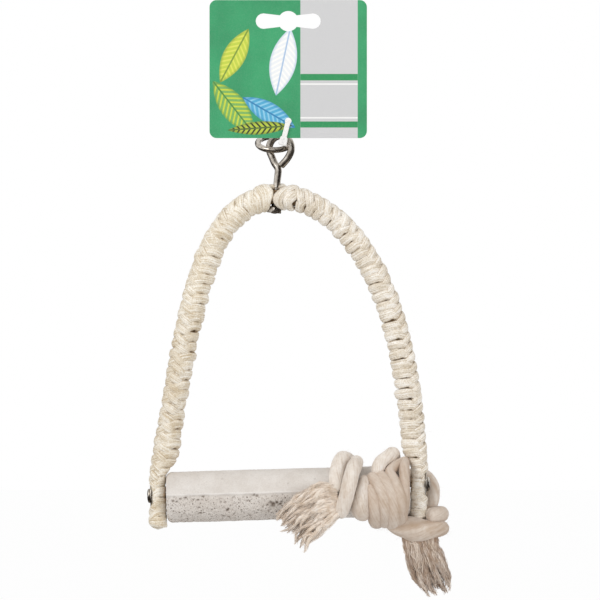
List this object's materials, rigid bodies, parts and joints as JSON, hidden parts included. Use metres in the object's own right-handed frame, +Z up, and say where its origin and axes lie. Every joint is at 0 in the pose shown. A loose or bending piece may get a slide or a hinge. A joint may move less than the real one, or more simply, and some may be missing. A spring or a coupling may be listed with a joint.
{
  "type": "bird swing",
  "caption": "Hanging cage swing for a small bird: twine-wound arch, cast mineral perch with a knotted rope, eye bolt and ring, tied to a printed header card.",
  "frame": {"origin": "where a shop peg touches the top of the header card's euro slot", "axes": "+Z up, +X to the viewer's right along the perch, +Y away from the viewer, the card's back"},
  "size_m": [0.1509, 0.0464, 0.2955],
  "materials": {
    "green_card": "printed, satin coated",
    "white_nylon": "moulded, translucent white",
    "nickel_plate": "bright nickel plate",
    "cane": "bare",
    "sisal": "natural twine, flattened",
    "mineral": "cast, matt, pitted",
    "plug_wood": "bare",
    "cotton": "soft laid rope, undyed"
  },
  "bodies": {
    "card": {"header_card": "green_card"},
    "tie": {"cable_tie": "white_nylon"},
    "swing": {"arch_core": "cane", "sisal_wrap_left": "sisal", "sisal_wrap_right": "sisal", "perch": "mineral", "perch_plug_left": "plug_wood", "perch_plug_right": "plug_wood", "eye_bolt": "nickel_plate", "eye_nut": "nickel_plate", "perch_screw_left": "nickel_plate", "perch_screw_right": "nickel_plate", "perch_washer_left": "nickel_plate", "perch_washer_right": "nickel_plate", "rope_strand_1": "cotton", "rope_strand_2": "cotton", "rope_strand_3": "cotton", "rope_wrap_1": "cotton", "rope_wrap_2": "cotton", "rope_wrap_3": "cotton", "rope_bight_top": "cotton", "rope_bight_back": "cotton", "rope_bight_right": "cotton", "rope_bight_low": "cotton", "rope_tassel_left": "cotton", "rope_tassel_right": "cotton"},
    "ring": {"hanger_ring": "nickel_plate"}
  },
  "joints": [
    {"name": "tie_sway", "type": "hinge", "parent": "card", "child": "tie", "pos_m": [0, 0, -0.0542], "axis": [0, 1, 0], "range_deg": [-20, 10]},
    {"name": "swing_rock", "type": "hinge", "parent": "tie", "child": "swing", "pos_m": [-0.0019, 0.0048, -0.0618], "axis": [1, 0, 0], "range_deg": [-22, 28]},
    {"name": "ring_tilt", "type": "hinge", "parent": "swing", "child": "ring", "pos_m": [-0.00305, 0.00534, -0.0679], "axis": [0.8746, 0.4343, 0.2156], "range_deg": [0, 28]}
  ]
}
